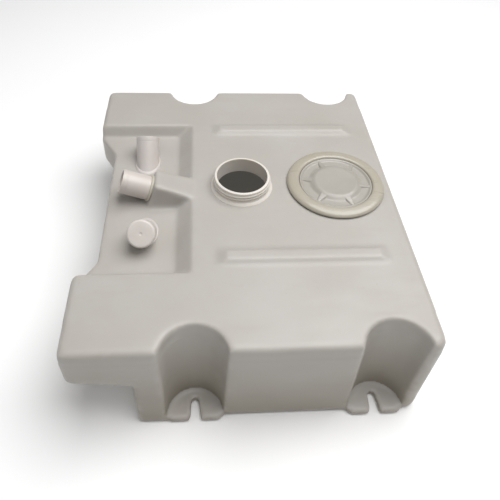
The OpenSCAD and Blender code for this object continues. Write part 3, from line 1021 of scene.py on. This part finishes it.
class TANK_OT_plug(bpy.types.Operator):
    """Models the push-in plug of the spare spigot"""

    bl_idname = "tank.plug"
    bl_label = "Spare plug"

    def execute(self, context):
        f = context.scene.tank_fittings
        paint = context.scene.tank_colours
        off_seat, head, long, dimple = 0.0003, 0.006, 0.022, 0.0006
        seat = tube_top("spare_spigot", SPARE_AXIS) + SPARE_AXIS * off_seat
        radius = (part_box("spare_plug")[1].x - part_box("spare_plug")[0].x) / 2
        stem = HOSE_R - f.tube_wall - STEM_GAP
        bead, bead_half = stem + 0.0008, 0.0008
        outline = [(0, -long), (stem - 0.002, -long), (stem, -0.020)]
        for level in (-0.0147, -0.0074):
            outline += [(stem, level - bead_half), (bead, level), (stem, level + bead_half)]
        outline += [(stem, 0), (radius, 0), (radius, head * 0.55), (radius - 0.0022, head),
                    (0.0022, head + 0.0001), (0.0018, head - dimple), (0, head - dimple)]
        plug = turned("spare_spigot_plug", softened(outline, 0.0011, 4), TUBE_FACETS)
        aim_z(plug, seat, SPARE_AXIS)
        finish_with(plug, moulded_plastic("white_plug", paint.plug, 0.34, skin=350, mottle=40))
        shade(plug)
        stands_for(plug, "plug", "spare_plug")
        return {"FINISHED"}


# ---------------------------------------------------------------- the hatch

class TANK_OT_hatch_frame(bpy.types.Operator):
    """Models the cream hatch frame and finishes the gasket and the lock ring"""

    bl_idname = "tank.hatch_frame"
    bl_label = "Hatch frame"

    def execute(self, context):
        paint = context.scene.tank_colours
        low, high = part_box("hatch_frame")
        lid_gap, sleeve_wall, ledge, gasket, ledge_high = 0.0004, 0.0095, 0.006, 0.002, 0.005
        outer = (high.x - low.x) / 2
        bore = (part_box("hatch_lid")[1].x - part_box("hatch_lid")[0].x) / 2 + lid_gap
        sleeve = bore + sleeve_wall
        seat = bore - ledge
        seat_top = low.z + ledge_high
        under = DECK + gasket
        top = high.z
        outline = [(bore, seat_top), (bore, top - 0.0028), (bore + 0.0016, top - 0.0008),
                   (bore + 0.005, top), (outer - 0.0085, top - 0.0004),
                   (outer - 0.0035, top - 0.0016), (outer - 0.0006, top - 0.0042),
                   (outer, under + 0.0006), (outer - 0.001, under),
                   (sleeve, under), (sleeve, low.z), (seat, low.z), (seat, seat_top)]
        ring = turned("hatch_frame_ring", softened(outline, 0.0016, 4), HATCH_FACETS)
        ring.location = (HATCH.x, HATCH.y, 0)
        settle(ring)
        cream = moulded_plastic("cream_plastic", paint.hatch, 0.30, skin=260, mottle=18, coat=0.3)
        finish_with(ring, cream)
        shade(ring)
        stands_for(ring, "tank", "hatch_frame")
        finish_with(frame["nodes"]["hatch_lock_ring"], cream)
        black = rubber("seal_rubber", paint.rubber)
        for node in ("hatch_gasket", "lid_seal"):
            finish_with(frame["nodes"][node], black)
        return {"FINISHED"}


class TANK_OT_hatch_lid(bpy.types.Operator):
    """Models the screw lid with its threaded skirt, raised middle and gripping ribs"""

    bl_idname = "tank.hatch_lid"
    bl_label = "Hatch lid"

    def execute(self, context):
        f = context.scene.tank_fittings
        paint = context.scene.tank_colours
        low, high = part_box("hatch_lid")
        outer = (high.x - low.x) / 2
        top = high.z
        floor = DECK + 0.005
        well, brim = floor - 0.0014, floor + 0.0012
        root = outer - 0.0012
        skirt = outer - 0.0046
        mid = f.lid_boss
        outline = [(0, floor - 0.0025), (skirt, floor - 0.0035), (skirt, low.z), (root, low.z),
                   (root, floor - 0.0025), (outer, floor - 0.001), (outer, brim),
                   (outer - 0.0025, brim), (outer - 0.0055, well), (mid + 0.006, well),
                   (mid + 0.0030, floor + 0.0005), (mid, top - 0.0014), (mid - 0.004, top),
                   (mid - 0.012, top - 0.0006), (0, top - 0.0016)]
        lid = turned("hatch_screw_lid", softened(outline, 0.0016, 4), HATCH_FACETS)
        ridge_high, ridge_turns, first_turn = 0.0011, 1.4, low.z + 0.0042
        combine(lid, thread("lid_thread", root, ridge_high, f.lid_pitch, ridge_turns, first_turn),
                "UNION")
        for i in range(f.ribs):
            combine(lid, self.rib(mid, outer, floor, top, f.first_rib + i * math.tau / f.ribs),
                    "UNION")
        lid.location = (HATCH.x, HATCH.y, 0)
        settle(lid)
        finish_with(lid, moulded_plastic("lid_plastic", paint.lid, 0.33, skin=320, mottle=20,
                                         coat=0.15))
        shade(lid, 32)
        stands_for(lid, "lid", "hatch_lid")
        return {"FINISHED"}

    def rib(self, mid, outer, floor, top, angle):
        """One gripping rib, a wedge that falls and narrows from the middle to the rim."""
        half, fall, edge, top_share, end_share = 0.0095, 0.0026, 0.0012, 0.62, 0.30
        wedge = block("grip", (mid - 0.004, -half, floor - 0.002),
                      (outer - 0.002, half, top - 0.0014))
        squeeze_part(wedge, lambda p: p.z > floor, (1, top_share, 1), (0, 0, 0))
        squeeze_part(wedge, lambda p: p.x > mid, (1, end_share, 1), (0, 0, 0))
        move_part(wedge, lambda p: p.x > mid and p.z > floor, (0, 0, -fall))
        bevel_part(wedge, lambda p: p.z > floor + 0.0005, edge, 3)
        wedge.rotation_euler = (0, 0, angle)
        return settle(wedge)


# ---------------------------------------------------------------- the stage

class TANK_OT_stage(bpy.types.Operator):
    """Sets the pale floor, the soft lights and the camera"""

    bl_idname = "tank.stage"
    bl_label = "Studio stage"

    def execute(self, context):
        stage = context.scene.tank_stage
        paint = context.scene.tank_colours
        floor_size, floor_middle, air = 14, (0, 2, 0), 0.15
        clear()
        bpy.ops.mesh.primitive_plane_add(size=floor_size, location=floor_middle)
        floor = settle(context.active_object)
        floor.name = "studio_floor"
        finish_with(floor, self.floor_finish(paint.floor))
        self.camera(context, stage)
        tank = (0, 0, 0.1)
        self.light("key_panel", (0.75, 0.22, 2.4), (0, 0.05, 0.1), size=2.6, power=76)
        self.light("left_fill", (-1.9, -0.2, 1.5), tank, size=1.6, power=6)
        self.light("front_fill", (0.1, -1.5, 2.6), tank, size=2.2, power=13)
        world = bpy.data.worlds.new("studio_air")
        world.use_nodes = True
        sky = world.node_tree.nodes["Background"]
        sky.inputs["Color"].default_value = (1, 1, 1, 1)
        sky.inputs["Strength"].default_value = air
        context.scene.world = world
        context.scene.view_settings.view_transform = "Standard"
        return {"FINISHED"}

    def floor_finish(self, base):
        """Pale matt floor with a faint cloudiness."""
        material = bpy.data.materials.new("studio_floor")
        material.use_nodes = True
        tree = material.node_tree
        shader = tree.nodes["Principled BSDF"]
        place = tree.nodes.new("ShaderNodeTexCoord").outputs["Object"]
        cloud = spread(tree, noise(tree, place, 1.2, 3), 0.3, 0.7, 0, 1)
        tree.links.new(blend_colour(tree, cloud, tinted(base, 0.99), tinted(base, 1.01)),
                       shader.inputs["Base Color"])
        shader.inputs["Roughness"].default_value = 0.9
        return material

    def camera(self, context, stage):
        clear()
        bpy.ops.object.camera_add(location=stage.eye, rotation=stage.aim)
        camera = context.active_object
        camera.data.lens = stage.lens
        camera.data.sensor_width = 36  # millimetres
        camera.data.shift_x, camera.data.shift_y = stage.shift
        context.scene.camera = camera

    def light(self, name, place, target, size, power):
        """A round soft light of a size in metres and a power in watts."""
        clear()
        bpy.ops.object.light_add(type="AREA", location=place)
        lamp = bpy.context.active_object
        lamp.name = name
        lamp.data.shape = "DISK"
        lamp.data.size = size
        lamp.data.energy = power
        aim = Vector(target) - Vector(place)
        lamp.rotation_euler = aim.to_track_quat("-Z", "Y").to_euler()


class TANK_PT_panel(bpy.types.Panel):
    """Lists the tank's pieces and their sizes"""

    bl_label = "Fresh water tank"
    bl_idname = "TANK_PT_panel"
    bl_space_type = "VIEW_3D"
    bl_region_type = "UI"
    bl_category = "Water Tank"

    def draw(self, context):
        layout = self.layout
        for operator in OPERATORS:
            layout.operator(operator.bl_idname)
        for group in ("tank_shell", "tank_fittings", "tank_colours", "tank_stage"):
            box = layout.box()
            settings = getattr(context.scene, group)
            for name in settings.bl_rna.properties.keys():
                if name not in ("rna_type", "name"):
                    box.prop(settings, name)


OPERATORS = (TANK_OT_stage, TANK_OT_shell, TANK_OT_spigots, TANK_OT_plug, TANK_OT_hatch_frame,
             TANK_OT_hatch_lid)
GROUPS = {"tank_shell": TankShellSizes, "tank_fittings": TankFittingSizes,
          "tank_colours": TankColours, "tank_stage": TankStageSizes}


def register():
    for cls in (*GROUPS.values(), *OPERATORS, TANK_PT_panel):
        bpy.utils.register_class(cls)
    for name, group in GROUPS.items():
        setattr(bpy.types.Scene, name, PointerProperty(type=group))


def unregister():
    for name in GROUPS:
        delattr(bpy.types.Scene, name)
    for cls in reversed((*GROUPS.values(), *OPERATORS, TANK_PT_panel)):
        bpy.utils.unregister_class(cls)


def main():
    register()
    bpy.ops.tank.stage()
    bpy.ops.tank.shell()
    bpy.ops.tank.spigots()
    bpy.ops.tank.plug()
    bpy.ops.tank.hatch_frame()
    bpy.ops.tank.hatch_lid()
    clear()


if __name__ == "__main__":
    main()
